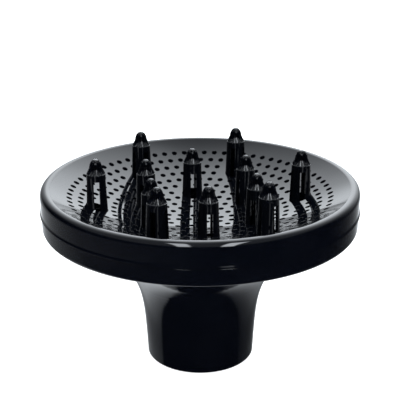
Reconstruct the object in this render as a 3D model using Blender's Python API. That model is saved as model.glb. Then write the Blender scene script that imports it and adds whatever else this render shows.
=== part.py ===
"""Hair-dryer diffuser: a neck that takes the dryer's nozzle flares into a round body, whose front unit
carries a concave perforated dish with twelve slotted fingers. The front unit lifts off the rear shell.

Metres, +Z up. The origin is the centre of the neck's mouth, and the dish faces up.
"""

from math import atan2, cos, hypot, pi, radians, sin, sqrt

import bmesh
import bpy
from mathutils import Matrix, Vector
from mathutils.geometry import delaunay_2d_cdt

MM = 0.001
GAP = 0.3 * MM  # clearance between neighbouring pieces
SEGMENTS = 48  # facets round the body's turned pieces
SMALL_SEGMENTS = 12  # facets round fingers, tips, screws and bosses

# Rear shell
WALL = 2.0 * MM
MOUTH_RADIUS = 26.1 * MM
MOUTH_ROUND = 0.6 * MM
NECK_TAPER = 0.0575  # radius gained for each unit of height
FLARE_SPAN = 68.85 * MM  # height at which the flare has added its full gain
FLARE_GAIN = 42.3 * MM  # radius that the flare adds to the taper
FLARE_POWER = 4.6
FLARE_HEIGHTS = (12.0, 24.0, 32.0, 38.0, 43.0, 48.0, 53.0, 58.0, 62.5, 66.5)  # in MM, where the flare is sampled
FOOT_RADIUS = 74.9 * MM  # where the underside turns up into the skirt
FOOT_ROUND = 2.2 * MM
FOOT_ROUND_Z = 70.75 * MM  # height of the rounding's centre
FOOT_ROUND_START = radians(-75.6)
FOOT_ROUND_STEPS = 3
SKIRT_RADIUS = 75.1 * MM
SEAM_Z = 77.2 * MM
SPIGOT_TOP_Z = 82.2 * MM
SPIGOT_RADIUS = 73.2 * MM
SPIGOT_WALL = 1.8 * MM
STOP_Z = 24.0 * MM  # underside of the ledge that stops the nozzle
STOP_RADIUS = 21.5 * MM
STOP_THICKNESS = 2.0 * MM

# Rim ring
LIP_RADIUS = 75.55 * MM
LIP_HEIGHT = 0.5 * MM
RIM_ROUND = 3.0 * MM
RIM_ROUND_STEPS = 6
LEDGE_RADIUS = 68.5 * MM
LEDGE_UNDERSIDE_Z = SPIGOT_TOP_Z + 0.4 * MM

# Perforated dish: part of a hollow sphere
DISH_RADIUS = 143.3 * MM
DISH_LOW_Z = 69.4 * MM
DISH_THICKNESS = 2.0 * MM
DISH_CENTRE_Z = DISH_LOW_Z + DISH_RADIUS
HOLE_RADIUS = 1.3 * MM
HOLE_SIDES = 6
HOLE_RINGS = 12
HOLE_PITCH = 5.13 * MM  # from ring to ring
HOLES_PER_RING = 6  # ring n has this many times n
HOLE_FREE_RADIUS = 7.0 * MM  # no holes this close to a finger's axis
SPOKE_ANGLE = radians(7.8)

# The rim's rounding runs from the skirt's wall, over the top, to where it meets the dish's sphere without a step
RIM_ROUND_RADIUS = SKIRT_RADIUS - RIM_ROUND
RIM_ROUND_Z = DISH_CENTRE_Z - sqrt((DISH_RADIUS + RIM_ROUND) ** 2 - RIM_ROUND_RADIUS**2)
RIM_ROUND_END = atan2(DISH_CENTRE_Z - RIM_ROUND_Z, -RIM_ROUND_RADIUS)
CREASE_RADIUS = RIM_ROUND_RADIUS + RIM_ROUND * cos(RIM_ROUND_END)

# Fingers
FINGERS_PER_RING = 6
OUTER_FINGER_RING = 9.5 * HOLE_PITCH
INNER_FINGER_RING = 5.5 * HOLE_PITCH
FINGER_HEIGHT = 23.7 * MM  # dish to tip, on the finger's axis
FINGER_FOOT_RADIUS = 5.1 * MM
FINGER_TOP_RADIUS = 4.45 * MM
FINGER_FOOT_BORE = 3.6 * MM
FINGER_TOP_BORE = 3.1 * MM
FINGER_ROOT = 5.6 * MM  # how far the root reaches down through the dish
SLOT_WIDTH = 2.7 * MM
SLOT_LOW = -1.9 * MM
OUTER_SLOT_HIGH = 13.8 * MM
INNER_SLOT_HIGH = 11.9 * MM
TIP_HEIGHT = 7.0 * MM
TIP_RADIUS = 3.75 * MM
TIP_FLARE_HEIGHT = 1.6 * MM
TIP_PLUG_DEPTH = 2.0 * MM
TIP_DOME_STEPS = 3

# Air baffle and its screws
BAFFLE_Z = 56.0 * MM  # underside of the arms
BAFFLE_THICKNESS = 1.6 * MM
BAFFLE_HUB_RADIUS = 15.0 * MM
BAFFLE_CONE_DEPTH = 5.5 * MM
BAFFLE_ARMS = 3
BAFFLE_ARM_WIDTH = 7.0 * MM
BOSS_RING = 38.0 * MM
BOSS_RADIUS = 3.5 * MM
BOSS_HOLE_RADIUS = 1.7 * MM
BOSS_HOLE_DEPTH = 5.0 * MM
SCREW_RADIUS = 1.4 * MM
SCREW_HEAD_RADIUS = 2.8 * MM
SCREW_HEAD_HEIGHT = 1.8 * MM
SCREW_LENGTH = 6.0 * MM

# Grip sleeve
SLEEVE_LOW_Z = 0.6 * MM
SLEEVE_BORE = 23.0 * MM
SLEEVE_RIB_RADIUS = 22.0 * MM
SLEEVE_RIBS = 3
SLEEVE_RIB_HALF_HEIGHT = 1.0 * MM
SLEEVE_SEGMENTS = SEGMENTS // 2


def clear_scene():
    for thing in list(bpy.data.objects):
        bpy.data.objects.remove(thing)


def plain_material(name, colour, roughness, metallic=0.0):
    material = bpy.data.materials.new(name)
    material.use_nodes = True
    shader = material.node_tree.nodes["Principled BSDF"]
    shader.inputs["Base Color"].default_value = (*colour, 1.0)
    shader.inputs["Roughness"].default_value = roughness
    shader.inputs["Metallic"].default_value = metallic
    return material


def gloss_black(name):
    return plain_material(name, (0.008, 0.009, 0.012), 0.08)


def smooth(mesh):
    mesh.shade_smooth()
    mesh.set_sharp_from_angle(angle=radians(35))


def to_mesh(name, build):
    """The bmesh as a mesh, smooth but for its corners."""
    mesh = bpy.data.meshes.new(name)
    build.to_mesh(mesh)
    build.free()
    smooth(mesh)
    return mesh


def add(name, mesh, material, parent=None, location=(0.0, 0.0, 0.0), turn=0.0):
    """A named object in the scene. Its location and turn about Z are given in the world."""
    piece = bpy.data.objects.new(name, mesh)
    bpy.context.scene.collection.objects.link(piece)
    if material is not None:
        piece.data.materials.clear()
        piece.data.materials.append(material)
    piece.location = location
    piece.rotation_euler = (0.0, 0.0, turn)
    if parent is not None:
        piece.parent = parent
        piece.matrix_parent_inverse = Matrix.Translation(-parent.location)
    return piece


def turned_mesh(name, outline, segments=SEGMENTS, start=0.0):
    """A solid turned about Z. The outline's (radius, height) points go up the outer side and down the inner."""
    build = bmesh.new()
    rings = []
    for radius, height in outline:
        angles = [start + 2 * pi * k / segments for k in range(segments if radius > 0 else 1)]
        rings.append([build.verts.new((radius * cos(a), radius * sin(a), height)) for a in angles])
    for ring, following in zip(rings, rings[1:] + rings[:1]):
        for k in range(segments):
            corners = [
                ring[k % len(ring)],
                ring[(k + 1) % len(ring)],
                following[(k + 1) % len(following)],
                following[k % len(following)],
            ]
            corners = list(dict.fromkeys(corners))
            if len(corners) > 2:
                build.faces.new(corners)
    return to_mesh(name, build)


def cylinder_mesh(name, radius, low, high, segments=SMALL_SEGMENTS):
    return turned_mesh(name, [(0, low), (radius, low), (radius, high), (0, high)], segments)


def box_mesh(name, low, high):
    build = bmesh.new()
    size = Vector(high) - Vector(low)
    middle = (Vector(high) + Vector(low)) / 2
    matrix = Matrix.Translation(middle) @ Matrix.Diagonal((*size, 1.0))
    bmesh.ops.create_cube(build, size=1.0, matrix=matrix)
    return to_mesh(name, build)


def combine(piece, other, operation):
    """Joins other to piece, or cuts or keeps what they share, and deletes other."""
    modifier = piece.modifiers.new(operation.lower(), "BOOLEAN")
    modifier.operation = operation
    modifier.solver = "EXACT"
    modifier.object = other
    depsgraph = bpy.context.evaluated_depsgraph_get()
    mesh = bpy.data.meshes.new_from_object(piece.evaluated_get(depsgraph))
    piece.modifiers.clear()
    piece.data = mesh
    smooth(mesh)
    bpy.data.objects.remove(other)


def around(count, radius, phase=0.0):
    """Angle, x and y of places spread evenly round a circle."""
    for k in range(count):
        angle = phase + 2 * pi * k / count
        yield angle, radius * cos(angle), radius * sin(angle)


def arc(centre, radius, start, end, steps):
    """Points on a circle about centre, from the start angle to the end angle."""
    for k in range(steps + 1):
        angle = start + (end - start) * k / steps
        yield centre[0] + radius * cos(angle), centre[1] + radius * sin(angle)


def flare_radius(height):
    """The outer radius of the neck and the body's underside: a taper and a trumpet flare."""
    return MOUTH_RADIUS + NECK_TAPER * height + FLARE_GAIN * (height / FLARE_SPAN) ** FLARE_POWER


def inside_flare(height, depth):
    """The point this deep in the wall behind the outer surface at a height, square to the surface."""
    slope = NECK_TAPER + FLARE_GAIN * FLARE_POWER / FLARE_SPAN * (height / FLARE_SPAN) ** (FLARE_POWER - 1)
    length = hypot(1.0, slope)
    return flare_radius(height) - depth / length, height + depth * slope / length


def dish_z(radius, depth=0.0):
    """Height of the dish's top surface at a radius, or of a surface this deep under it."""
    return DISH_CENTRE_Z - sqrt((DISH_RADIUS + depth) ** 2 - radius**2)


def plenum_mesh():
    """The space inside the rear shell, out to the middle of its wall."""
    sides = [inside_flare(height * MM, WALL / 2) for height in FLARE_HEIGHTS]
    return turned_mesh("plenum", [(0, sides[0][1]), *sides, (0, sides[-1][1])])


def make_rear_shell():
    inner_radius = SPIGOT_RADIUS - SPIGOT_WALL
    heights = [height * MM for height in FLARE_HEIGHTS]
    foot_centre = (FOOT_RADIUS - FOOT_ROUND, FOOT_ROUND_Z)
    bore_at_stop = MOUTH_RADIUS - WALL + NECK_TAPER * STOP_Z
    outside = [
        (MOUTH_RADIUS - WALL, 0.0),
        (MOUTH_RADIUS - MOUTH_ROUND, 0.0),
        (MOUTH_RADIUS, MOUTH_ROUND),
        *[(flare_radius(height), height) for height in heights],
        *arc(foot_centre, FOOT_ROUND, FOOT_ROUND_START, 0.0, FOOT_ROUND_STEPS),
        (SKIRT_RADIUS, SEAM_Z - GAP),
    ]
    spigot = [
        (SPIGOT_RADIUS, SEAM_Z - GAP),
        (SPIGOT_RADIUS, SPIGOT_TOP_Z),
        (inner_radius, SPIGOT_TOP_Z),
    ]
    inside = [
        (inner_radius, FOOT_ROUND_Z + WALL),
        *[inside_flare(height, WALL) for height in reversed(heights[2:])],
        (bore_at_stop + NECK_TAPER * STOP_THICKNESS, STOP_Z + STOP_THICKNESS),
        (STOP_RADIUS, STOP_Z + STOP_THICKNESS),
        (STOP_RADIUS, STOP_Z),
        (bore_at_stop, STOP_Z),
    ]
    mesh = turned_mesh("rear_shell", outside + spigot + inside)
    shell = add("rear_shell", mesh, gloss_black("rear_shell_gloss_black"))
    boss_top = BAFFLE_Z - GAP
    for angle, x, y in around(BAFFLE_ARMS, BOSS_RING, SPOKE_ANGLE):
        post = add("boss", cylinder_mesh("boss", BOSS_RADIUS, STOP_Z, boss_top), None, None, (x, y, 0), angle)
        combine(post, add("plenum", plenum_mesh(), None), "INTERSECT")
        combine(shell, post, "UNION")
        pilot = cylinder_mesh("pilot", BOSS_HOLE_RADIUS, boss_top - BOSS_HOLE_DEPTH, boss_top + WALL)
        combine(shell, add("pilot", pilot, None, None, (x, y, 0), angle), "DIFFERENCE")


def make_grip_sleeve():
    """A rubber sleeve against the neck's bore, with ribs that grip the nozzle."""
    top = STOP_Z - GAP
    bore = MOUTH_RADIUS - WALL - GAP
    outline = [(SLEEVE_BORE, SLEEVE_LOW_Z), (bore, SLEEVE_LOW_Z), (bore + NECK_TAPER * top, top), (SLEEVE_BORE, top)]
    pitch = (top - SLEEVE_LOW_Z) / SLEEVE_RIBS
    for k in reversed(range(SLEEVE_RIBS)):
        middle = SLEEVE_LOW_Z + pitch * (k + 0.5)
        outline += [
            (SLEEVE_BORE, middle + SLEEVE_RIB_HALF_HEIGHT),
            (SLEEVE_RIB_RADIUS, middle),
            (SLEEVE_BORE, middle - SLEEVE_RIB_HALF_HEIGHT),
        ]
    mesh = turned_mesh("grip_sleeve", outline, SLEEVE_SEGMENTS)
    add("grip_sleeve", mesh, plain_material("sleeve_rubber", (0.03, 0.03, 0.03), 0.7))


def make_air_baffle():
    """A hub with a cone that faces the incoming air, on arms that end over the shell's bosses."""
    low, high = BAFFLE_Z, BAFFLE_Z + BAFFLE_THICKNESS
    hub = [(0, low - BAFFLE_CONE_DEPTH), (BAFFLE_HUB_RADIUS, low), (BAFFLE_HUB_RADIUS, high)]
    hub.append((0, high - BAFFLE_CONE_DEPTH))
    baffle = add("air_baffle", turned_mesh("air_baffle", hub, SEGMENTS // 2), plain_material("baffle_black", (0.01,) * 3, 0.4))
    half = BAFFLE_ARM_WIDTH / 2
    for angle, x, y in around(BAFFLE_ARMS, BOSS_RING, SPOKE_ANGLE):
        start = BAFFLE_HUB_RADIUS - WALL
        arm = box_mesh("arm", (start, -half, low), (BOSS_RING + half, half, high))
        combine(baffle, add("arm", arm, None, turn=angle), "UNION")
        hole = cylinder_mesh("hole", BOSS_HOLE_RADIUS, low - WALL, high + WALL)
        combine(baffle, add("hole", hole, None, None, (x, y, 0), angle), "DIFFERENCE")


def make_baffle_screws():
    """Three pan-head screws through the baffle's arms into the bosses."""
    seat = BAFFLE_Z + BAFFLE_THICKNESS + GAP
    outline = [
        (0, seat - SCREW_LENGTH),
        (SCREW_RADIUS, seat - SCREW_LENGTH),
        (SCREW_RADIUS, seat),
        (SCREW_HEAD_RADIUS, seat),
        (SCREW_HEAD_RADIUS, seat + SCREW_HEAD_HEIGHT / 2),
        (SCREW_HEAD_RADIUS / 2, seat + SCREW_HEAD_HEIGHT),
        (0, seat + SCREW_HEAD_HEIGHT),
    ]
    screw = turned_mesh("screw", outline, SMALL_SEGMENTS)
    steel = plain_material("screw_steel", (0.5, 0.5, 0.52), 0.35, 1.0)
    for k, (_, x, y) in enumerate(around(BAFFLE_ARMS, BOSS_RING, SPOKE_ANGLE)):
        add(f"baffle_screw_{k + 1}", screw, steel, None, (x, y, 0))


def make_rim_ring(front):
    """The rolled rim and the upper skirt. Its ledge carries the dish, and its skirt goes over the spigot."""
    inner_radius = SPIGOT_RADIUS + GAP
    round_centre = (RIM_ROUND_RADIUS, RIM_ROUND_Z)
    ledge_depth = DISH_THICKNESS + GAP
    outline = [
        (inner_radius, SEAM_Z),
        (LIP_RADIUS, SEAM_Z),
        (LIP_RADIUS, SEAM_Z + LIP_HEIGHT),
        (SKIRT_RADIUS, SEAM_Z + 2 * LIP_HEIGHT),
        *arc(round_centre, RIM_ROUND, 0.0, RIM_ROUND_END, RIM_ROUND_STEPS),
        (CREASE_RADIUS, dish_z(CREASE_RADIUS, ledge_depth)),
        (LEDGE_RADIUS, dish_z(LEDGE_RADIUS, ledge_depth)),
        (LEDGE_RADIUS, LEDGE_UNDERSIDE_Z),
        (inner_radius, LEDGE_UNDERSIDE_Z),
    ]
    add("rim_ring", turned_mesh("rim_ring", outline), gloss_black("rim_gloss_black"), front)


def finger_places():
    """Each finger's ring, number, angle, x and y: the inner ring stands in the gaps of the outer one."""
    rings = (("outer", OUTER_FINGER_RING, 0.0), ("inner", INNER_FINGER_RING, pi / FINGERS_PER_RING))
    for ring, radius, offset in rings:
        for k, (angle, x, y) in enumerate(around(FINGERS_PER_RING, radius, SPOKE_ANGLE + offset)):
            yield ring, k + 1, angle, x, y


def hole_places():
    """The centres of the dish's holes: one in the middle, then rings, but none at a finger's foot."""
    places = [(0.0, 0.0, 0.0)]
    for ring in range(1, HOLE_RINGS + 1):
        places += around(ring * HOLES_PER_RING, ring * HOLE_PITCH, SPOKE_ANGLE)
    fingers = [(x, y) for *_, x, y in finger_places()]
    for angle, x, y in places:
        if all(hypot(x - fx, y - fy) > HOLE_FREE_RADIUS for fx, fy in fingers):
            yield angle, x, y


def make_dish_grille(front):
    """The perforated dish: a flat net of triangles between its edge and its holes, laid on the sphere."""
    points = []
    loops = []

    def loop(x, y, radius, sides, phase):
        loops.append(list(range(len(points), len(points) + sides)))
        points.extend(Vector((x + dx, y + dy)) for _, dx, dy in around(sides, radius, phase))

    loop(0, 0, CREASE_RADIUS - GAP, SEGMENTS, 0.0)
    for angle, x, y in hole_places():
        loop(x, y, HOLE_RADIUS, HOLE_SIDES, angle)
    for *_, angle, x, y in finger_places():
        loop(x, y, FINGER_FOOT_RADIUS + GAP, SMALL_SEGMENTS, angle + pi / SMALL_SEGMENTS)
    edges = [(start, end) for ring in loops for start, end in zip(ring, ring[1:] + ring[:1])]
    hole_of = {point: number for number, ring in enumerate(loops) for point in ring}
    net_points, _, triangles, *_ = delaunay_2d_cdt(points, edges, [], 1, 1e-7)

    build = bmesh.new()
    top = [build.verts.new((p.x, p.y, dish_z(p.length))) for p in net_points]
    under = [build.verts.new((p.x, p.y, dish_z(p.length, DISH_THICKNESS))) for p in net_points]
    for triangle in triangles:
        in_hole = len({hole_of[point] for point in triangle}) == 1 and hole_of[triangle[0]] > 0
        if not in_hole:
            build.faces.new([top[point] for point in triangle])
            build.faces.new([under[point] for point in reversed(triangle)])
    for number, ring in enumerate(loops):
        for start, end in zip(ring, ring[1:] + ring[:1]):
            if number == 0:
                build.faces.new([under[start], under[end], top[end], top[start]])
            else:
                build.faces.new([under[end], under[start], top[start], top[end]])
    add("dish_grille", to_mesh("dish_grille", build), gloss_black("dish_gloss_black"), front)


def finger_mesh(slot_high):
    """A tapered tube with its root in the dish and four slots, on its own axis, with z = 0 at the dish."""
    shoulder = FINGER_HEIGHT - TIP_HEIGHT
    outline = [
        (FINGER_FOOT_BORE, -FINGER_ROOT),
        (FINGER_FOOT_RADIUS, -FINGER_ROOT),
        (FINGER_FOOT_RADIUS, 0.0),
        (FINGER_TOP_RADIUS, shoulder),
        (FINGER_TOP_BORE, shoulder),
    ]
    half_facet = pi / SMALL_SEGMENTS
    tube = add("tube", turned_mesh("finger", outline, SMALL_SEGMENTS, half_facet), None)
    half_slot, reach = SLOT_WIDTH / 2, 2 * FINGER_FOOT_RADIUS
    for x, y in ((reach, half_slot), (half_slot, reach)):
        slot = box_mesh("slot", (-x, -y, SLOT_LOW), (x, y, slot_high))
        combine(tube, add("slot", slot, None), "DIFFERENCE")
    mesh = tube.data
    bpy.data.objects.remove(tube)
    return mesh


def tip_mesh():
    """A bullet-shaped cap, plugged into its finger, on its own axis, with z = 0 at the finger's shoulder."""
    dome_height = TIP_HEIGHT - TIP_FLARE_HEIGHT
    dome = []
    for k in range(TIP_DOME_STEPS + 1):
        angle = pi / 2 * k / TIP_DOME_STEPS
        dome.append((TIP_RADIUS * cos(angle) if k < TIP_DOME_STEPS else 0.0, TIP_FLARE_HEIGHT + dome_height * sin(angle)))
    plug_radius = FINGER_TOP_BORE - GAP
    outline = [(0, -TIP_PLUG_DEPTH), (plug_radius, -TIP_PLUG_DEPTH), (plug_radius, GAP), (FINGER_TOP_RADIUS, GAP)]
    return turned_mesh("tip", outline + dome, SMALL_SEGMENTS, pi / SMALL_SEGMENTS)


def make_fingers(front):
    tubes = {"outer": finger_mesh(OUTER_SLOT_HIGH), "inner": finger_mesh(INNER_SLOT_HIGH)}
    tip = tip_mesh()
    tube_black = gloss_black("finger_gloss_black")
    tip_black = gloss_black("tip_gloss_black")
    shoulder = FINGER_HEIGHT - TIP_HEIGHT
    for ring, number, angle, x, y in finger_places():
        foot_z = dish_z(hypot(x, y))
        add(f"finger_{ring}_{number}", tubes[ring], tube_black, front, (x, y, foot_z), angle)
        add(f"tip_{ring}_{number}", tip, tip_black, front, (x, y, foot_z + shoulder), angle)


def main():
    clear_scene()
    make_rear_shell()
    make_grip_sleeve()
    make_air_baffle()
    make_baffle_screws()
    front = bpy.data.objects.new("front_unit", None)
    front.location = (0.0, 0.0, SEAM_Z)
    bpy.context.scene.collection.objects.link(front)
    make_rim_ring(front)
    make_dish_grille(front)
    make_fingers(front)


main()
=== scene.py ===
"""A hair-dryer diffuser in gloss black plastic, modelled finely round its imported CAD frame.

Everything is in metres and in the CAD's frame. +Z runs up the body's axis from the neck's mouth at z = 0,
and the front faces -Y.
"""

from math import atan2, ceil, cos, hypot, pi, radians, sin, sqrt, tan

import bmesh
import bpy
import numpy as np
from mathutils import Matrix, Vector
from mathutils.geometry import delaunay_2d_cdt


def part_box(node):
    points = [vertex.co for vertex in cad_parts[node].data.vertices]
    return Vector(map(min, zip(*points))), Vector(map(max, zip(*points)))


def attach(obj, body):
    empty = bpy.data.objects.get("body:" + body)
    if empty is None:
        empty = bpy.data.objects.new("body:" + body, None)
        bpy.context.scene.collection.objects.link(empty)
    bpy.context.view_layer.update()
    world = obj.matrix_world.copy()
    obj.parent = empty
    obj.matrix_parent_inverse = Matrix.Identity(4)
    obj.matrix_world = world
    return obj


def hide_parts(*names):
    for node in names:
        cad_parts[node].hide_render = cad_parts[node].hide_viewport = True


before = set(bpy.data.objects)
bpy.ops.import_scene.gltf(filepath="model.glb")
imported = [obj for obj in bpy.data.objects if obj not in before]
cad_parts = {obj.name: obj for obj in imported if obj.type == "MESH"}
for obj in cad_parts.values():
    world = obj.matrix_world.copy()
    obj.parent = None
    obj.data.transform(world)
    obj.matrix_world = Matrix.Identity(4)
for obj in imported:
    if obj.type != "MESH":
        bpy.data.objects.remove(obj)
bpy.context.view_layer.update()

MM = 0.001
REAR, FRONT = "rear_unit", "front_unit"

# Sizes that the CAD boxes give
SHELL_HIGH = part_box("rear_shell")[1]
RIM_LOW, RIM_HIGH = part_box("rim_ring")
DISH_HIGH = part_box("dish_grille")[1]
SLEEVE_LOW, SLEEVE_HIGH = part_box("grip_sleeve")

# Sizes that repeat the CAD's own
GAP = 0.3 * MM
WALL = 2.0 * MM
MOUTH_RADIUS = 26.1 * MM
NECK_TAPER = 0.0575
FLARE_SPAN = 68.85 * MM
FLARE_GAIN = 42.3 * MM
FLARE_POWER = 4.6
FLARE_TOP_Z = 66.5 * MM  # where the flare's curve hands over to the foot
FOOT_RADIUS = 74.9 * MM
FOOT_ROUND = 2.2 * MM
FOOT_ROUND_Z = 70.75 * MM
FOOT_ROUND_START = radians(-75.6)
SKIRT_RADIUS = SHELL_HIGH.x
SEAM_Z = RIM_LOW.z
SPIGOT_TOP_Z = SHELL_HIGH.z
SPIGOT_RADIUS = 73.2 * MM
SPIGOT_WALL = 1.8 * MM
STOP_Z = 24.0 * MM
STOP_THICKNESS = 2.0 * MM
STOP_RADIUS = 21.5 * MM
LIP_HEIGHT = 0.5 * MM
LEDGE_RADIUS = 68.5 * MM
DISH_RADIUS = 143.3 * MM
DISH_THICKNESS = 2.0 * MM
DISH_LOW_Z = 69.4 * MM
DISH_CENTRE_Z = DISH_LOW_Z + DISH_RADIUS
RIM_ROUND = 3.0 * MM
RIM_ROUND_RADIUS = SKIRT_RADIUS - RIM_ROUND
RIM_ROUND_Z = DISH_CENTRE_Z - sqrt((DISH_RADIUS + RIM_ROUND) ** 2 - RIM_ROUND_RADIUS**2)
RIM_ROUND_END = atan2(DISH_CENTRE_Z - RIM_ROUND_Z, -RIM_ROUND_RADIUS)
HOLE_RADIUS = 1.3 * MM
HOLE_RINGS = 12
HOLE_PITCH = 5.13 * MM
HOLES_PER_RING = 6
HOLE_FREE_RADIUS = 7.0 * MM
FINGERS_PER_RING = 6
FINGER_FOOT_RADIUS = 5.1 * MM
FINGER_TOP_RADIUS = 4.45 * MM
FINGER_FOOT_BORE = 3.6 * MM
FINGER_TOP_BORE = 3.1 * MM
FINGER_ROOT = 5.6 * MM
SHOULDER = 16.7 * MM  # where the tip starts, above the dish
SLOT_WIDTH = 2.7 * MM
SLOT_LOW = -1.9 * MM
SLOT_HIGH = {"outer": 13.8 * MM, "inner": 11.9 * MM}
TIP_HEIGHT = 7.0 * MM
TIP_PLUG_DEPTH = 2.0 * MM
BOSS_RING = 38.0 * MM
BOSS_RADIUS = 3.5 * MM
BOSS_HOLE_RADIUS = 1.7 * MM
BOSS_HOLE_DEPTH = 5.0 * MM
BAFFLE_Z = 56.0 * MM
BAFFLE_THICKNESS = 1.6 * MM
BAFFLE_HUB_RADIUS = 15.0 * MM
BAFFLE_CONE_DEPTH = 5.5 * MM
BAFFLE_ARMS = 3
BAFFLE_ARM_WIDTH = 7.0 * MM
SCREW_RADIUS = 1.4 * MM
SCREW_HEAD_RADIUS = 2.8 * MM
SCREW_HEAD_HEIGHT = 1.8 * MM
SCREW_LENGTH = 6.0 * MM
SLEEVE_BORE = 23.0 * MM
SLEEVE_RIB_RADIUS = 22.0 * MM
SLEEVE_RIBS = 3
SLEEVE_RIB_HALF_HEIGHT = 1.0 * MM

# Sizes that only the fine model has
DOME_RADIUS = 2.95 * MM  # of a tip, without what its bell adds
DOME_HEIGHT = 4.0 * MM
BELL_TOP = 2.4 * MM  # about where the flutes' floors stop spreading
CROWN = 5.2 * MM  # where the top's closer rings start
RIB_SPREAD = (1.5 * MM, 0.5)  # what the bell adds to the radius at the shoulder, and how fast it tapers
FLUTE_SPREAD = (1.95 * MM, 0.8)
BELL_BEND = 0.12 * MM
FLUTES = 16  # round a tip
FLUTE_DEPTH = 0.8 * MM
FLUTE_END = 6.7 * MM  # height above the shoulder where the flutes run out
FLUTE_FADE = 1.2 * MM
RECESS_WIDTH = 0.6 * MM  # of the cross in a screw's head
RECESS_HALF_LENGTH = 1.5 * MM
RECESS_DEPTH = 1.1 * MM

# Facets round turned pieces
ROUND = 256
RIM_FACETS = 320
SLEEVE_FACETS = 160
SMALL_ROUND = 96
BAFFLE_END_FACETS = 48
SCREW_FACETS = 64


# ---------------------------------------------------------------- shapes


def rounded(corners, step=radians(6)):
    """A closed outline of (radius, height) points, from corners of (radius, height, rounding)."""
    outline = []
    count = len(corners)
    points = [Vector(c[:2]) for c in corners]
    for k, (_, _, rounding) in enumerate(corners):
        here, before, after = points[k], points[k - 1], points[(k + 1) % count]
        back, ahead = (before - here), (after - here)
        turn = pi - back.angle(ahead)
        if rounding <= 0 or turn < radians(1):
            outline.append(here)
            continue
        reach = rounding * tan(turn / 2)
        limit = 0.49 * min(back.length, ahead.length)
        if reach > limit:
            rounding *= limit / reach
            reach = limit
        bisector = (back.normalized() + ahead.normalized()).normalized()
        centre = here + bisector * (rounding / cos(turn / 2))
        start = here + back.normalized() * reach - centre
        side = 1 if back.x * ahead.y - back.y * ahead.x < 0 else -1
        steps = max(3, ceil(turn / step))
        for n in range(steps + 1):
            a = side * turn * n / steps
            spoke = (start.x * cos(a) - start.y * sin(a), start.x * sin(a) + start.y * cos(a))
            outline.append(centre + Vector(spoke))
    return [tuple(p) for p in outline]


def supported(outline, reach=0.1 * MM, longest=0.8 * MM):
    """The closed outline, with points near the ends of long sides that keep them flat when smoothed."""
    result = []
    for start, end in zip(outline, outline[1:] + outline[:1]):
        start, end = Vector(start), Vector(end)
        result.append(tuple(start))
        if (end - start).length > longest:
            along = (end - start).normalized() * reach
            result += [tuple(start + along), tuple(end - along)]
    return result


def smooth(mesh, angle=radians(32)):
    """Shades the mesh smooth, but for the edges that are sharper than the angle."""
    mesh.shade_smooth()
    mesh.set_sharp_from_angle(angle=angle)


def turned(name, outline, segments=ROUND):
    """A mesh turned about Z from a closed outline of (radius, height) points."""
    build = bmesh.new()
    rings = []
    for radius, height in outline:
        if radius < 1e-7:
            rings.append([build.verts.new((0, 0, height))])
        else:
            angles = [2 * pi * k / segments for k in range(segments)]
            rings.append([build.verts.new((radius * cos(a), radius * sin(a), height)) for a in angles])
    for ring, following in zip(rings, rings[1:] + rings[:1]):
        if len(ring) == len(following) == 1:
            continue
        for k in range(segments):
            corners = [
                ring[k % len(ring)],
                ring[(k + 1) % len(ring)],
                following[(k + 1) % len(following)],
                following[k % len(following)],
            ]
            build.faces.new(list(dict.fromkeys(corners)))
    bmesh.ops.recalc_face_normals(build, faces=build.faces)
    mesh = bpy.data.meshes.new(name)
    build.to_mesh(mesh)
    build.free()
    smooth(mesh)
    return mesh


def block(name, low, high):
    build = bmesh.new()
    size, middle = Vector(high) - Vector(low), (Vector(high) + Vector(low)) / 2
    matrix = Matrix.Translation(middle) @ Matrix.Diagonal((*size, 1.0))
    bmesh.ops.create_cube(build, size=1.0, matrix=matrix)
    mesh = bpy.data.meshes.new(name)
    build.to_mesh(mesh)
    build.free()
    return mesh


def cylinder(name, radius, low, high, segments=SMALL_ROUND):
    return turned(name, [(0, low), (radius, low), (radius, high), (0, high)], segments)


def place(name, mesh, location=(0, 0, 0), turn=0.0):
    thing = bpy.data.objects.new(name, mesh)
    bpy.context.scene.collection.objects.link(thing)
    thing.location = location
    thing.rotation_euler = (0, 0, turn)
    return thing


def settle(thing):
    """Applies the object's modifiers to a mesh of its own."""
    depsgraph = bpy.context.evaluated_depsgraph_get()
    mesh = bpy.data.meshes.new_from_object(thing.evaluated_get(depsgraph))
    thing.modifiers.clear()
    thing.data = mesh
    return thing


def combine(thing, other, operation):
    """Joins other to thing, or cuts or keeps what they share, and deletes other."""
    modifier = thing.modifiers.new("combine", "BOOLEAN")
    modifier.operation = operation
    modifier.solver = "EXACT"
    modifier.object = other
    settle(thing)
    bpy.data.objects.remove(other)
    smooth(thing.data)
    return thing


def soften(thing, width, segments=3, angle=radians(40)):
    """Rounds the object's sharp edges."""
    modifier = thing.modifiers.new("soften", "BEVEL")
    modifier.width = width
    modifier.segments = segments
    modifier.limit_method = "ANGLE"
    modifier.angle_limit = angle
    modifier.harden_normals = True
    smooth(thing.data, angle)
    return settle(thing)


def piece(thing, body, slot, material, *nodes):
    """Gives a finished piece its material and its body, and hides the CAD nodes that it stands for; slot is
    not used.
    """
    thing.data.materials.clear()
    thing.data.materials.append(material)
    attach(thing, body)
    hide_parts(*nodes)
    return thing


def arc(centre, radius, start, end, steps):
    """Points on a circle about centre, from the start angle to the end angle."""
    for k in range(steps + 1):
        angle = start + (end - start) * k / steps
        yield centre[0] + radius * cos(angle), centre[1] + radius * sin(angle)


def around(count, radius, phase=0.0):
    """Angle, x and y of places spread evenly round a circle."""
    for k in range(count):
        angle = phase + 2 * pi * k / count
        yield angle, radius * cos(angle), radius * sin(angle)


# ---------------------------------------------------------------- materials


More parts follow.
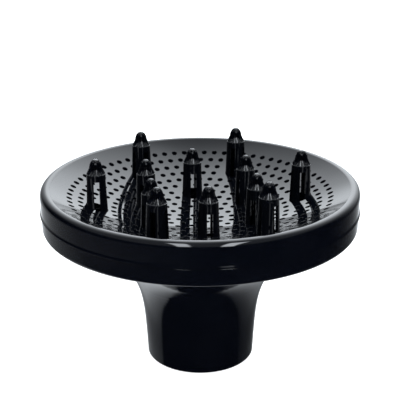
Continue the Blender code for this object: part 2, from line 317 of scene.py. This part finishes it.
class Nodes:
    """A small helper that adds and links shader nodes."""

    def __init__(self, tree):
        self.tree = tree

    def add(self, kind, settings=(), **inputs):
        """Adds a node. An input is named with underscores for spaces, or by number as in i0."""
        node = self.tree.nodes.new(kind)
        for name, value in settings:
            setattr(node, name, value)
        for name, value in inputs.items():
            numbered = name[0] == "i" and name[1:].isdigit()
            socket = node.inputs[int(name[1:]) if numbered else name.replace("_", " ")]
            if isinstance(value, bpy.types.NodeSocket):
                self.tree.links.new(value, socket)
            else:
                socket.default_value = value
        return node

    def maths(self, operation, *values):
        inputs = {f"i{k}": value for k, value in enumerate(values)}
        return self.add("ShaderNodeMath", (("operation", operation),), **inputs).outputs[0]

    def between(self, value, low, high, out_low=0.0, out_high=1.0, kind="SMOOTHSTEP"):
        """Maps value from low..high to out_low..out_high, and no further, with soft ends unless LINEAR."""
        node = self.add(
            "ShaderNodeMapRange",
            (("interpolation_type", kind), ("clamp", True)),
            i0=value,
            i1=low,
            i2=high,
            i3=out_low,
            i4=out_high,
        )
        return node.outputs[0]

    def noise(self, vector, scale, detail=2.0, roughness=0.5):
        inputs = {"Vector": vector, "Scale": scale, "Detail": detail, "Roughness": roughness}
        return self.add("ShaderNodeTexNoise", **inputs).outputs["Fac"]


def surface(name, colours, roughness, bumps, metallic=0.0, patch=90.0, **shader_inputs):
    """A moulded or plated surface: two colours in soft patches, a roughness range, and layers of bump.

    colours and roughness are (low, high) pairs, and bumps are (scale, depth, detail) rows.
    """
    material = bpy.data.materials.new(name)
    material.use_nodes = True
    tree = material.node_tree
    nodes = Nodes(tree)
    shader = tree.nodes["Principled BSDF"]
    place_in = nodes.add("ShaderNodeTexCoord").outputs["Object"]
    patches = nodes.noise(place_in, patch, 3.0)
    share = nodes.between(patches, 0.3, 0.7)
    first, second = ((*colour, 1) for colour in colours)
    colour = nodes.add("ShaderNodeMix", (("data_type", "RGBA"),), i0=share, i6=first, i7=second)
    tree.links.new(colour.outputs[2], shader.inputs["Base Color"])
    haze = nodes.noise(place_in, patch * 2.7, 4.0, 0.6)
    tree.links.new(nodes.between(haze, 0.3, 0.7, *roughness), shader.inputs["Roughness"])
    normal = None
    for scale, depth, detail in bumps:
        bump = nodes.add("ShaderNodeBump", Height=nodes.noise(place_in, scale, detail), Distance=depth)
        if normal is not None:
            tree.links.new(normal, bump.inputs["Normal"])
        normal = bump.outputs["Normal"]
    tree.links.new(normal, shader.inputs["Normal"])
    shader.inputs["Metallic"].default_value = metallic
    for key, value in shader_inputs.items():
        shader.inputs[key.replace("_", " ")].default_value = value
    return material


def gloss_black(name, wave_scale, roughness=(0.03, 0.07)):
    """Polished black moulding, with the faint waviness of the mould's polish."""
    colours = ((0.0016, 0.0022, 0.0042), (0.0024, 0.0030, 0.0052))
    bumps = ((wave_scale, 0.012 * MM, 1.0), (900.0, 0.0006 * MM, 3.0))
    return surface(name, colours, roughness, bumps, IOR=1.5)


shell_plastic = gloss_black("shell_gloss_black", 45.0)
rim_plastic = gloss_black("rim_gloss_black", 40.0)
dish_plastic = gloss_black("dish_gloss_black", 50.0)
finger_plastic = gloss_black("finger_gloss_black", 110.0, (0.05, 0.11))
tip_plastic = gloss_black("tip_gloss_black", 120.0, (0.05, 0.11))
baffle_plastic = surface(
    "baffle_satin_black",
    ((0.010, 0.010, 0.011), (0.016, 0.016, 0.017)),
    (0.34, 0.48),
    ((2600.0, 0.02 * MM, 3.0), (300.0, 0.02 * MM, 2.0)),
)
sleeve_rubber = surface(
    "sleeve_silicone",
    ((0.018, 0.018, 0.019), (0.032, 0.031, 0.030)),
    (0.62, 0.82),
    ((1800.0, 0.03 * MM, 4.0), (240.0, 0.03 * MM, 2.0)),
    patch=140.0,
)
screw_steel = surface(
    "screw_zinc",
    ((0.50, 0.51, 0.53), (0.62, 0.61, 0.58)),
    (0.22, 0.38),
    ((3500.0, 0.006 * MM, 3.0),),
    metallic=1.0,
    patch=700.0,
)


# ---------------------------------------------------------------- rear shell


def flare_radius(height):
    """Outer radius of the neck and the body's underside."""
    return MOUTH_RADIUS + NECK_TAPER * height + FLARE_GAIN * (height / FLARE_SPAN) ** FLARE_POWER


def inside_flare(height, depth):
    """Radius and height of the point at a depth below the outer surface."""
    slope = NECK_TAPER + FLARE_GAIN * FLARE_POWER / FLARE_SPAN * (height / FLARE_SPAN) ** (FLARE_POWER - 1)
    length = hypot(1.0, slope)
    return flare_radius(height) - depth / length, height + depth * slope / length


def plenum():
    """A solid that fills the body's inside, out to the middle of its wall."""
    heights = np.linspace(12, 64, 27) * MM
    sides = [inside_flare(z, WALL / 2) for z in heights]
    return turned("plenum", [(0, sides[0][1]), *sides, (0, sides[-1][1])], 128)


def make_rear_shell():
    """The neck, the flared body and its spigot, with a stop for the nozzle and three bosses inside."""
    inner = SPIGOT_RADIUS - SPIGOT_WALL
    bore = MOUTH_RADIUS - WALL
    bore_at_stop = bore + NECK_TAPER * STOP_Z
    wall_top = SEAM_Z - GAP
    heights = [*np.linspace(2 * MM, 40 * MM, 20), *np.linspace(42 * MM, FLARE_TOP_Z, 26)]
    corners = [(bore, 0.0, 0.5 * MM), (MOUTH_RADIUS, 0.0, 0.6 * MM)]
    corners += [(flare_radius(z), z, 0.0) for z in heights]
    foot_centre = (FOOT_RADIUS - FOOT_ROUND, FOOT_ROUND_Z)
    corners += [
        (flare_radius(FLARE_TOP_Z) + 2.6 * MM, FLARE_TOP_Z + 0.85 * MM, 0.0),
        *[(r, z, 0.0) for r, z in arc(foot_centre, FOOT_ROUND, FOOT_ROUND_START, 0.0, 16)],
        (SKIRT_RADIUS, wall_top, 0.25 * MM),
        (SPIGOT_RADIUS, wall_top, 0.25 * MM),
        (SPIGOT_RADIUS, SPIGOT_TOP_Z, 0.5 * MM),
        (inner, SPIGOT_TOP_Z, 0.4 * MM),
        (inner, FOOT_ROUND_Z + WALL, 1.2 * MM),
    ]
    corners += [(*inside_flare(z, WALL), 0.0) for z in reversed(heights) if z > STOP_Z + STOP_THICKNESS / 2]
    corners += [
        (bore_at_stop + NECK_TAPER * STOP_THICKNESS, STOP_Z + STOP_THICKNESS, 0.6 * MM),
        (STOP_RADIUS, STOP_Z + STOP_THICKNESS, 0.5 * MM),
        (STOP_RADIUS, STOP_Z, 0.5 * MM),
        (bore_at_stop, STOP_Z, 0.4 * MM),
    ]
    shell = place("rear_shell_fine", turned("rear_shell_fine", supported(rounded(corners))))
    boss_top = BAFFLE_Z - GAP
    for angle, x, y in baffle_places():
        post = place("boss", cylinder("boss", BOSS_RADIUS, STOP_Z, boss_top), (x, y, 0), angle)
        combine(post, place("plenum", plenum()), "INTERSECT")
        combine(shell, post, "UNION")
        pilot = cylinder("pilot", BOSS_HOLE_RADIUS, boss_top - BOSS_HOLE_DEPTH, boss_top + WALL)
        combine(shell, place("pilot", pilot, (x, y, 0), angle), "DIFFERENCE")
    piece(shell, REAR, "shell_plastic", shell_plastic, "rear_shell")


def baffle_places():
    """Angle, x and y of the baffle's screws."""
    for k in range(BAFFLE_ARMS):
        low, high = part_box(f"baffle_screw_{k + 1}")
        x, y = (low.x + high.x) / 2, (low.y + high.y) / 2
        yield atan2(y, x), x, y


# ---------------------------------------------------------------- inside pieces


def make_grip_sleeve():
    """The rubber lining of the neck, with ribs that grip the nozzle."""
    low, high = SLEEVE_LOW.z, SLEEVE_HIGH.z
    bore = MOUTH_RADIUS - WALL - GAP
    crest = 0.1 * MM
    corners = [
        (SLEEVE_BORE, low, 0.35 * MM),
        (bore, low, 0.3 * MM),
        (bore + NECK_TAPER * high, high, 0.3 * MM),
        (SLEEVE_BORE, high, 0.35 * MM),
    ]
    pitch = (high - low) / SLEEVE_RIBS
    for k in reversed(range(SLEEVE_RIBS)):
        middle = low + pitch * (k + 0.5)
        corners += [
            (SLEEVE_BORE, middle + SLEEVE_RIB_HALF_HEIGHT, 0.3 * MM),
            (SLEEVE_RIB_RADIUS, middle + crest, 0.25 * MM),
            (SLEEVE_RIB_RADIUS, middle - crest, 0.25 * MM),
            (SLEEVE_BORE, middle - SLEEVE_RIB_HALF_HEIGHT, 0.3 * MM),
        ]
    outline = supported(rounded(corners, radians(12)))
    sleeve = place("grip_sleeve_fine", turned("grip_sleeve_fine", outline, SLEEVE_FACETS))
    piece(sleeve, REAR, "sleeve_rubber", sleeve_rubber, "grip_sleeve")


def make_air_baffle():
    """A dished hub on three arms, which spreads the air."""
    low, high = BAFFLE_Z, BAFFLE_Z + BAFFLE_THICKNESS
    hub = [(0, low - BAFFLE_CONE_DEPTH), (BAFFLE_HUB_RADIUS, low)]
    hub += [(BAFFLE_HUB_RADIUS, high), (0, high - BAFFLE_CONE_DEPTH)]
    baffle = place("air_baffle_fine", turned("air_baffle_fine", hub, SMALL_ROUND))
    half = BAFFLE_ARM_WIDTH / 2
    for angle, x, y in baffle_places():
        start = BAFFLE_HUB_RADIUS - WALL
        arm = block("arm", (start, -half, low), (BOSS_RING, half, high))
        combine(baffle, place("arm", arm, turn=angle), "UNION")
        end = cylinder("end", half, low, high, BAFFLE_END_FACETS)
        combine(baffle, place("end", end, (x, y, 0), angle), "UNION")
        hole = cylinder("hole", BOSS_HOLE_RADIUS, low - WALL, high + WALL, BAFFLE_END_FACETS)
        combine(baffle, place("hole", hole, (x, y, 0), angle), "DIFFERENCE")
    soften(baffle, 0.2 * MM, 2)
    piece(baffle, REAR, "baffle_plastic", baffle_plastic, "air_baffle")


def make_screws():
    """Pan-headed screws with a cross recess, each turned a little further than the one before."""
    seat = BAFFLE_Z + BAFFLE_THICKNESS + GAP
    tip, top = seat - SCREW_LENGTH, seat + SCREW_HEAD_HEIGHT
    corners = [
        (0, tip, 0),
        (0.9 * MM, tip, 0),
        (SCREW_RADIUS, tip + 0.6 * MM, 0),
        (SCREW_RADIUS, seat, 0),
        (SCREW_HEAD_RADIUS, seat, 0.15 * MM),
        (SCREW_HEAD_RADIUS, seat + SCREW_HEAD_HEIGHT / 2, 0.5 * MM),
        (1.6 * MM, top, 0.8 * MM),
        (0, top, 0),
    ]
    recess_low = (-RECESS_HALF_LENGTH, -RECESS_WIDTH / 2, top - RECESS_DEPTH)
    recess_high = (RECESS_HALF_LENGTH, RECESS_WIDTH / 2, top + 1.2 * MM)
    for k, (angle, x, y) in enumerate(baffle_places()):
        facing = angle + 0.4 * k
        body = turned("screw", rounded(corners, radians(10)), SCREW_FACETS)
        screw = place(f"baffle_screw_{k + 1}_fine", body, (x, y, 0), facing)
        for turn in (0, pi / 2):
            recess = block("recess", recess_low, recess_high)
            combine(screw, place("recess", recess, (x, y, 0), facing + turn), "DIFFERENCE")
        soften(screw, 0.06 * MM, 2)
        piece(screw, REAR, "screw_steel", screw_steel, f"baffle_screw_{k + 1}")


# ---------------------------------------------------------------- front unit


def dish_z(radius, depth=0.0):
    """Height of the dish's upper face, or of what lies at a depth below it."""
    return DISH_CENTRE_Z - sqrt((DISH_RADIUS + depth) ** 2 - radius**2)


def make_rim_ring():
    """The rolled rim and upper skirt. The rim's rounding carries on along the dish's sphere."""
    inner = SPIGOT_RADIUS + GAP
    lip = RIM_HIGH.x
    ledge_z = SPIGOT_TOP_Z + 0.4 * MM
    depth = DISH_THICKNESS + GAP
    crease = DISH_HIGH.x + 0.01 * MM
    corners = [
        (inner, SEAM_Z, 0.2 * MM),
        (lip, SEAM_Z, 0.12 * MM),
        (lip, SEAM_Z + LIP_HEIGHT, 0.5 * MM),
        (SKIRT_RADIUS, SEAM_Z + 3 * LIP_HEIGHT, 2.0 * MM),
        *[(r, z, 0.0) for r, z in arc((RIM_ROUND_RADIUS, RIM_ROUND_Z), RIM_ROUND, 0.0, RIM_ROUND_END, 40)],
        (crease, dish_z(crease), 0.0),
        (crease, dish_z(crease, depth), 0.1 * MM),
        (LEDGE_RADIUS, dish_z(LEDGE_RADIUS, depth), 0.2 * MM),
        (LEDGE_RADIUS, ledge_z, 0.3 * MM),
        (inner, ledge_z, 0.4 * MM),
    ]
    outline = supported(rounded(corners, radians(3.5)))
    rim = place("rim_ring_fine", turned("rim_ring_fine", outline, RIM_FACETS))
    piece(rim, FRONT, "rim_plastic", rim_plastic, "rim_ring")


def finger_places():
    """Ring, number, angle, x and y of each finger, from the CAD's boxes."""
    for ring in ("outer", "inner"):
        for k in range(FINGERS_PER_RING):
            low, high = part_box(f"finger_{ring}_{k + 1}")
            x, y = (low.x + high.x) / 2, (low.y + high.y) / 2
            yield ring, k + 1, atan2(y, x), x, y


def hole_places():
    """Angle, x and y of the dish's round holes, which stay clear of the fingers."""
    fingers = [(x, y) for *_, x, y in finger_places()]
    first_angle = next(finger_places())[2]
    places = [(0.0, 0.0, 0.0)]
    for ring in range(1, HOLE_RINGS + 1):
        places += around(ring * HOLES_PER_RING, ring * HOLE_PITCH, first_angle)
    for angle, x, y in places:
        if all(hypot(x - fx, y - fy) > HOLE_FREE_RADIUS for fx, fy in fingers):
            yield angle, x, y


def make_dish_grille():
    """The perforated dish.

    A flat net of triangles between the edge and the holes is laid on the sphere, and the edges of each
    opening are softened above and below.
    """
    # x, y, radius, points, which side of the loop is solid, and how far its edge is softened
    loops = [(0.0, 0.0, DISH_HIGH.x, 288, -1, 0.008 * MM)]
    loops += [(x, y, HOLE_RADIUS, 20, 1, 0.14 * MM) for _, x, y in hole_places()]
    loops += [(x, y, FINGER_FOOT_RADIUS + 0.06 * MM, 64, 1, 0.1 * MM) for *_, x, y in finger_places()]
    flat, rings = [], []
    for x, y, radius, count, side, soft in loops:
        rings.append(list(range(len(flat), len(flat) + count)))
        flat += [(x + dx, y + dy) for _, dx, dy in around(count, radius + side * soft)]
    ring_of = {point: number for number, ring in enumerate(rings) for point in ring}
    for radius in (64.4 * MM, 66.6 * MM, 68.8 * MM):  # plain points, which fill the solid band by the edge
        flat += [(dx, dy) for _, dx, dy in around(180, radius, 0.01)]
    edges = [pair for ring in rings for pair in zip(ring, ring[1:] + ring[:1])]
    net, _, triangles, *_ = delaunay_2d_cdt([Vector(p) for p in flat], edges, [], 1, 1e-7)
    count = len(net)

    points, normals, faces = [], [], []
    centre = Vector((0, 0, DISH_CENTRE_Z))
    for depth, facing in ((0.0, 1), (DISH_THICKNESS, -1)):
        for p in net:
            point = Vector((p.x, p.y, dish_z(p.length, depth)))
            points.append(point)
            normals.append(facing * (centre - point).normalized())
    for triangle in triangles:
        numbers = {ring_of.get(point, -1) for point in triangle}
        if len(numbers) == 1 and numbers.pop() > 0:
            continue
        faces.append(tuple(triangle))
        faces.append(tuple(count + point for point in reversed(triangle)))
    midway = 0.3  # the middle of an edge's rounding lies this share of its radius from either face
    steps = ((midway, 1, 0.0), (0.0, 1, 0.0), (0.0, -1, DISH_THICKNESS), (midway, -1, DISH_THICKNESS))
    for (x, y, radius, sides, side, soft), ring in zip(loops, rings):
        rows = [ring]
        for share, facing, depth in steps:
            row = []
            for _, dx, dy in around(sides, radius + side * soft * share):
                away = hypot(x + dx, y + dy)
                inset = soft * (1 if share == 0.0 else midway)
                point = Vector((x + dx, y + dy, dish_z(away, depth) - facing * inset))
                across = Vector((-side * dx, -side * dy, 0)).normalized()
                up = facing * (centre - point).normalized()
                row.append(len(points))
                points.append(point)
                normals.append(across if share == 0.0 else (across + up).normalized())
            rows.append(row)
        rows.append([count + point for point in ring])
        for upper, lower in zip(rows, rows[1:]):
            for k in range(sides):
                corners = (upper[k], upper[(k + 1) % sides], lower[(k + 1) % sides], lower[k])
                faces.append(corners if side > 0 else corners[::-1])
    mesh = bpy.data.meshes.new("dish_grille_fine")
    mesh.from_pydata(points, [], faces)
    mesh.shade_smooth()
    mesh.normals_split_custom_set_from_vertices(normals)
    mesh.update()
    piece(place("dish_grille_fine", mesh), FRONT, "dish_plastic", dish_plastic, "dish_grille")


def finger_mesh(slot_high):
    """A tapered tube with four slots and lines of points along their edges, with z = 0 at the dish."""
    heights = [-FINGER_ROOT, SLOT_LOW, 0.0, *np.linspace(0, slot_high, 7)[1:], SHOULDER]
    leg, gap = 18, 8  # steps round a leg and across a slot
    quarter = leg + gap
    total = 4 * quarter
    half = SLOT_WIDTH / 2
    points, faces = [], []
    for z in heights:
        up = max(0.0, z / SHOULDER)
        outer = FINGER_FOOT_RADIUS + (FINGER_TOP_RADIUS - FINGER_FOOT_RADIUS) * up
        share = (z + FINGER_ROOT) / (SHOULDER + FINGER_ROOT)
        inner = FINGER_FOOT_BORE + (FINGER_TOP_BORE - FINGER_FOOT_BORE) * share
        for radius in (outer, inner):
            edge = atan2(half, sqrt(radius**2 - half**2))
            for k in range(total):
                turn, step = divmod(k, quarter)
                if step < leg:
                    angle = edge + (pi / 2 - 2 * edge) * step / leg
                else:
                    angle = pi / 2 - edge + 2 * edge * (step - leg) / gap
                angle += turn * pi / 2
                points.append((radius * cos(angle), radius * sin(angle), z))

    def at(row, layer, k):
        """Number of the k-th point in a row, on its outer layer (0) or inner layer (1)."""
        return (2 * row + layer) * total + k % total

    first, last = 1, len(heights) - 2  # the rows where the slots end
    for k in range(total):
        in_slot = k % quarter >= leg
        for row in range(len(heights) - 1):
            if in_slot and first <= row < last:
                continue
            faces.append((at(row, 0, k), at(row, 0, k + 1), at(row + 1, 0, k + 1), at(row + 1, 0, k)))
            faces.append((at(row, 1, k + 1), at(row, 1, k), at(row + 1, 1, k), at(row + 1, 1, k + 1)))
        top, bottom = len(heights) - 1, 0
        faces.append((at(top, 0, k), at(top, 0, k + 1), at(top, 1, k + 1), at(top, 1, k)))
        faces.append((at(bottom, 0, k + 1), at(bottom, 0, k), at(bottom, 1, k), at(bottom, 1, k + 1)))
        if in_slot:
            faces.append((at(first, 0, k), at(first, 0, k + 1), at(first, 1, k + 1), at(first, 1, k)))
            faces.append((at(last, 0, k + 1), at(last, 0, k), at(last, 1, k), at(last, 1, k + 1)))
        if k % quarter in (0, leg):
            for row in range(first, last):
                corners = (at(row, 0, k), at(row + 1, 0, k), at(row + 1, 1, k), at(row, 1, k))
                faces.append(corners if k % quarter == 0 else corners[::-1])
    mesh = bpy.data.meshes.new("finger")
    mesh.from_pydata(points, [], faces)
    build = bmesh.new()
    build.from_mesh(mesh)
    bmesh.ops.recalc_face_normals(build, faces=build.faces)
    build.to_mesh(mesh)
    build.free()
    tube = soften(place("tube", mesh), 0.05 * MM, 2)
    mesh = tube.data
    bpy.data.objects.remove(tube)
    return mesh


def tip_radii(z):
    """Radius over a rib and over a flute's floor at a height above the shoulder. Both spread like a bell."""
    in_dome = max(0.0, z - TIP_HEIGHT + DOME_HEIGHT) / DOME_HEIGHT
    dome = DOME_RADIUS * sqrt(max(0.0, 1 - in_dome**2))
    depth = FLUTE_DEPTH * min(1.0, max(0.0, (FLUTE_END - z) / FLUTE_FADE))

    def spread(at_shoulder, slope):
        """What the bell adds: a straight cone that bends softly into the dome's side."""
        return BELL_BEND * np.log1p(np.exp((at_shoulder - slope * z) / BELL_BEND))

    rib, floor = spread(*RIB_SPREAD), spread(*FLUTE_SPREAD)
    return dome + rib, dome + min(rib, floor - depth)


def flute_share(angle):
    """1 on top of a rib and 0 on a flute's floor, which is half of its width. A rib faces the front."""
    wave = 0.5 + 0.5 * cos(FLUTES * (angle + pi / 2))
    share = min(1.0, max(0.0, (wave - 0.5) / 0.4))
    return share * share * (3 - 2 * share)


def tip_mesh():
    """A fluted, bullet-shaped cap with a plug below, with z = 0 at the finger's shoulder."""
    across = FLUTES * 14
    heights = [*np.linspace(0, BELL_TOP, 17)[1:], *np.linspace(BELL_TOP, CROWN, 13)[1:]]
    heights += [TIP_HEIGHT - (TIP_HEIGHT - CROWN) * cos(a) for a in np.linspace(0, pi / 2, 13)[1:-1]]
    plug, seat = FINGER_TOP_BORE - 0.05 * MM, 0.04 * MM
    build = bmesh.new()
    rings = []
    for radius, z in ((plug, -TIP_PLUG_DEPTH), (plug, seat), (FINGER_TOP_RADIUS - 0.02 * MM, seat)):
        rings.append([build.verts.new((x, y, z)) for _, x, y in around(across, radius, -pi / 2)])
    for z in heights:
        rib, floor = tip_radii(z)
        ring = []
        for angle, dx, dy in around(across, 1.0, -pi / 2):
            radius = floor + (rib - floor) * flute_share(angle)
            ring.append(build.verts.new((radius * dx, radius * dy, z)))
        rings.append(ring)
    rings.append([build.verts.new((0, 0, TIP_HEIGHT))])
    build.faces.new(rings[0][::-1])
    for ring, following in zip(rings, rings[1:]):
        size = len(following)
        for k in range(across):
            after = (k + 1) % across
            corners = [ring[k], ring[after], following[after % size], following[k % size]]
            build.faces.new(list(dict.fromkeys(corners)))
    mesh = bpy.data.meshes.new("tip")
    build.to_mesh(mesh)
    build.free()
    smooth(mesh, radians(50))
    return mesh


def make_fingers():
    tubes = {ring: finger_mesh(high) for ring, high in SLOT_HIGH.items()}
    tip = tip_mesh()
    for ring, number, angle, x, y in finger_places():
        foot = dish_z(hypot(x, y))
        tube = place(f"finger_{ring}_{number}_fine", tubes[ring], (x, y, foot), angle)
        piece(tube, FRONT, "finger_plastic", finger_plastic, f"finger_{ring}_{number}")
        cap = place(f"tip_{ring}_{number}_fine", tip, (x, y, foot + SHOULDER))
        piece(cap, FRONT, "tip_plastic", tip_plastic, f"tip_{ring}_{number}")


# ---------------------------------------------------------------- studio


CAMERA_SENSOR = 36.0  # millimetres
CAMERA_LENS = 85.2
CAMERA_PLACE = Vector((0.0, -0.4225, 0.2364))
CAMERA_TARGET = Vector((0.0, 0.0, 0.0790))
CAMERA_ROLL = radians(-0.15)
FLOOR_HALF = 3.0
FLOOR_THICKNESS = 0.02
FLOOR_GLOW = 0.93
BACKDROP_RADIUS = 2.8


def make_camera():
    data = bpy.data.cameras.new("camera")
    data.sensor_width = CAMERA_SENSOR
    data.lens = CAMERA_LENS
    camera = bpy.data.objects.new("camera", data)
    bpy.context.scene.collection.objects.link(camera)
    camera.location = CAMERA_PLACE
    roll = Matrix.Rotation(CAMERA_ROLL, 4, "Z").to_quaternion()
    camera.rotation_mode = "QUATERNION"
    camera.rotation_quaternion = (CAMERA_TARGET - CAMERA_PLACE).to_track_quat("-Z", "Y") @ roll
    bpy.context.scene.camera = camera


def plain_white():
    """The backdrop's material, which glows evenly."""
    material = bpy.data.materials.new("backdrop_white")
    material.use_nodes = True
    tree = material.node_tree
    tree.nodes.clear()
    glow = tree.nodes.new("ShaderNodeEmission")
    glow.inputs["Color"].default_value = (1.0, 1.0, 1.0, 1.0)
    glow.inputs["Strength"].default_value = 1.0
    out = tree.nodes.new("ShaderNodeOutputMaterial")
    tree.links.new(glow.outputs[0], out.inputs["Surface"])
    return material


def make_stage():
    """A pale floor, bright enough to read as white, and a pale backdrop that only the camera sees."""
    low, high = (-FLOOR_HALF, -FLOOR_HALF, -FLOOR_THICKNESS), (FLOOR_HALF, FLOOR_HALF, 0)
    floor = place("floor", block("floor", low, high))
    greys = ((0.60, 0.60, 0.60), (0.62, 0.62, 0.62))
    pale = surface("floor_pale", greys, (0.55, 0.6), ((60.0, 0.02 * MM, 2.0),), patch=4.0)
    shader = pale.node_tree.nodes["Principled BSDF"]
    shader.inputs["Emission Color"].default_value = (1.0, 1.0, 1.0, 1.0)
    shader.inputs["Emission Strength"].default_value = FLOOR_GLOW
    floor.data.materials.append(pale)
    floor.visible_glossy = False
    build = bmesh.new()
    bmesh.ops.create_uvsphere(build, u_segments=64, v_segments=32, radius=BACKDROP_RADIUS)
    mesh = bpy.data.meshes.new("backdrop")
    build.to_mesh(mesh)
    build.free()
    backdrop = place("backdrop", mesh)
    backdrop.data.materials.append(plain_white())
    backdrop.visible_diffuse = False
    backdrop.visible_glossy = False
    backdrop.visible_transmission = False
    backdrop.visible_shadow = False


# The studio's lights. Rows of (angle in degrees, strength) make a curve over azimuth, with 0 behind the body
# and +90 at +X, or over elevation. A peak is the most that its curve can reach. The box, the wall and the
# table are each a curve across times a curve up.
STUDIO_TINT = (0.90, 0.95, 1.0, 1.0)

BOX_ACROSS = ((-180, 0), (-100, 0), (-55, 0.15), (-22, 0.58), (-4, 0.97), (8, 1), (25, 0.76), (42, 0.41))
BOX_ACROSS += ((75, 0.06), (100, 0), (180, 0))
BOX_UP = ((-90, 0), (-6, 0), (4, 2), (19, 3.1), (38, 3.8), (50, 3.5), (64, 2.1), (79, 0.25), (90, 0.1))
BOX_PEAK = 4.2
BOX_LEFT = (radians(10), radians(70), 1.8, 0.85)  # two elevations, and how narrow the left half is at each
BOX_RIGHT = (radians(10), radians(70), 1.25, 0.8)

ROOM_UP = ((-90, 0), (15, 0), (28, 0.06), (36, 0.28), (70, 0.33), (90, 0.5))

WALL_ACROSS = ((-180, 0), (-125, 0.09), (-82, 0.16), (-37, 0.5), (-22, 1.1), (0, 2.15), (22, 1), (37, 0.3))
WALL_ACROSS += ((60, 0.05), (95, 0), (180, 0))
WALL_PEAK = 2.4
WALL_UP = ((-90, 0), (-34, 0), (-25, 0.8), (-10, 1), (4, 0), (90, 0))

TABLE_ACROSS = ((-180, 0), (-93, 0), (-86, 0.45), (-52, 1), (-25, 1.28), (0, 0.95), (22, 0.63), (52, 0.32))
TABLE_ACROSS += ((86, 0.08), (93, 0), (180, 0))
TABLE_PEAK = 1.4
TABLE_UP = ((-90, 0), (-76, 0), (-66, 0.9), (-54, 1), (-41, 0.8), (-30, 0.2), (-20, 0), (90, 0))
TABLE_NEAR = (radians(-76), radians(-56), 1.35, 1.0)  # the same for the table

# Each strip's middle x and y, half sizes and strength
STRIPS = ((-0.17, -0.5, 0.07, 0.33, 9.0), (0.29, -0.52, 0.07, 0.34, 9.5))


def make_world():
    """The studio as the gloss sees it.

    There is a big soft box behind and above, a white wall and a white table behind, two strip lights
    overhead, and a dark room in front.
    """
    world = bpy.data.worlds.new("studio")
    bpy.context.scene.world = world
    world.use_nodes = True
    tree = world.node_tree
    nodes = Nodes(tree)
    direction = nodes.add("ShaderNodeTexCoord").outputs["Generated"]
    x, y, z = nodes.add("ShaderNodeSeparateXYZ", i0=direction).outputs
    azimuth = nodes.maths("ARCTAN2", x, y)
    elevation = nodes.maths("ARCSINE", nodes.maths("MINIMUM", nodes.maths("MAXIMUM", z, -1.0), 1.0))

    def times(first, second):
        return nodes.maths("MULTIPLY", first, second)

    def curve(angle, reach, rows, peak=1.0):
        """The smooth curve through the rows, over angles of -reach to reach degrees."""
        share = nodes.between(angle, -radians(reach), radians(reach), kind="LINEAR")
        node = nodes.add("ShaderNodeFloatCurve", i1=share)
        points = node.mapping.curves[0].points
        while len(points) < len(rows):
            points.new(0.5, 0.5)
        for point, (degrees, value) in zip(points, rows):
            point.location = ((degrees + reach) / (2 * reach), value / peak)
            point.handle_type = "AUTO_CLAMPED"
        node.mapping.update()
        return times(node.outputs[0], peak)

    def narrowed(angle, limits):
        """The angle scaled by elevation, so that a light over it is narrower or wider there."""
        return times(angle, nodes.between(elevation, *limits, kind="LINEAR"))

    def window(value, middle, half):
        """1 within half of the middle, with soft edges."""
        away = nodes.maths("ABSOLUTE", nodes.maths("SUBTRACT", value, middle))
        return nodes.between(away, 0.75 * half, 1.25 * half, 1.0, 0.0)

    def strip(middle_x, middle_y, half_x, half_y, strength):
        """A strip light overhead that runs from front to back, given by the direction's x and y."""
        across = times(window(x, middle_x, half_x), window(y, middle_y, half_y))
        return times(times(across, nodes.between(z, 0.3, 0.5)), strength)

    left = narrowed(nodes.maths("MINIMUM", azimuth, 0.0), BOX_LEFT)
    right = narrowed(nodes.maths("MAXIMUM", azimuth, 0.0), BOX_RIGHT)
    box_across = nodes.maths("ADD", left, right)
    table_across = times(azimuth, nodes.between(elevation, *TABLE_NEAR))
    lights = [
        times(curve(box_across, 180, BOX_ACROSS), curve(elevation, 90, BOX_UP, BOX_PEAK)),
        curve(elevation, 90, ROOM_UP),
        times(curve(azimuth, 180, WALL_ACROSS, WALL_PEAK), curve(elevation, 90, WALL_UP)),
        times(curve(table_across, 180, TABLE_ACROSS, TABLE_PEAK), curve(elevation, 90, TABLE_UP)),
        *[strip(*row) for row in STRIPS],
    ]
    total = lights[0]
    for lamp in lights[1:]:
        total = nodes.maths("ADD", total, lamp)
    background = tree.nodes["Background"]
    background.inputs["Color"].default_value = STUDIO_TINT
    tree.links.new(total, background.inputs["Strength"])


make_camera()
make_rear_shell()
make_grip_sleeve()
make_air_baffle()
make_screws()
make_rim_ring()
make_dish_grille()
make_fingers()
make_stage()
make_world()
bpy.context.scene.view_settings.view_transform = "Standard"
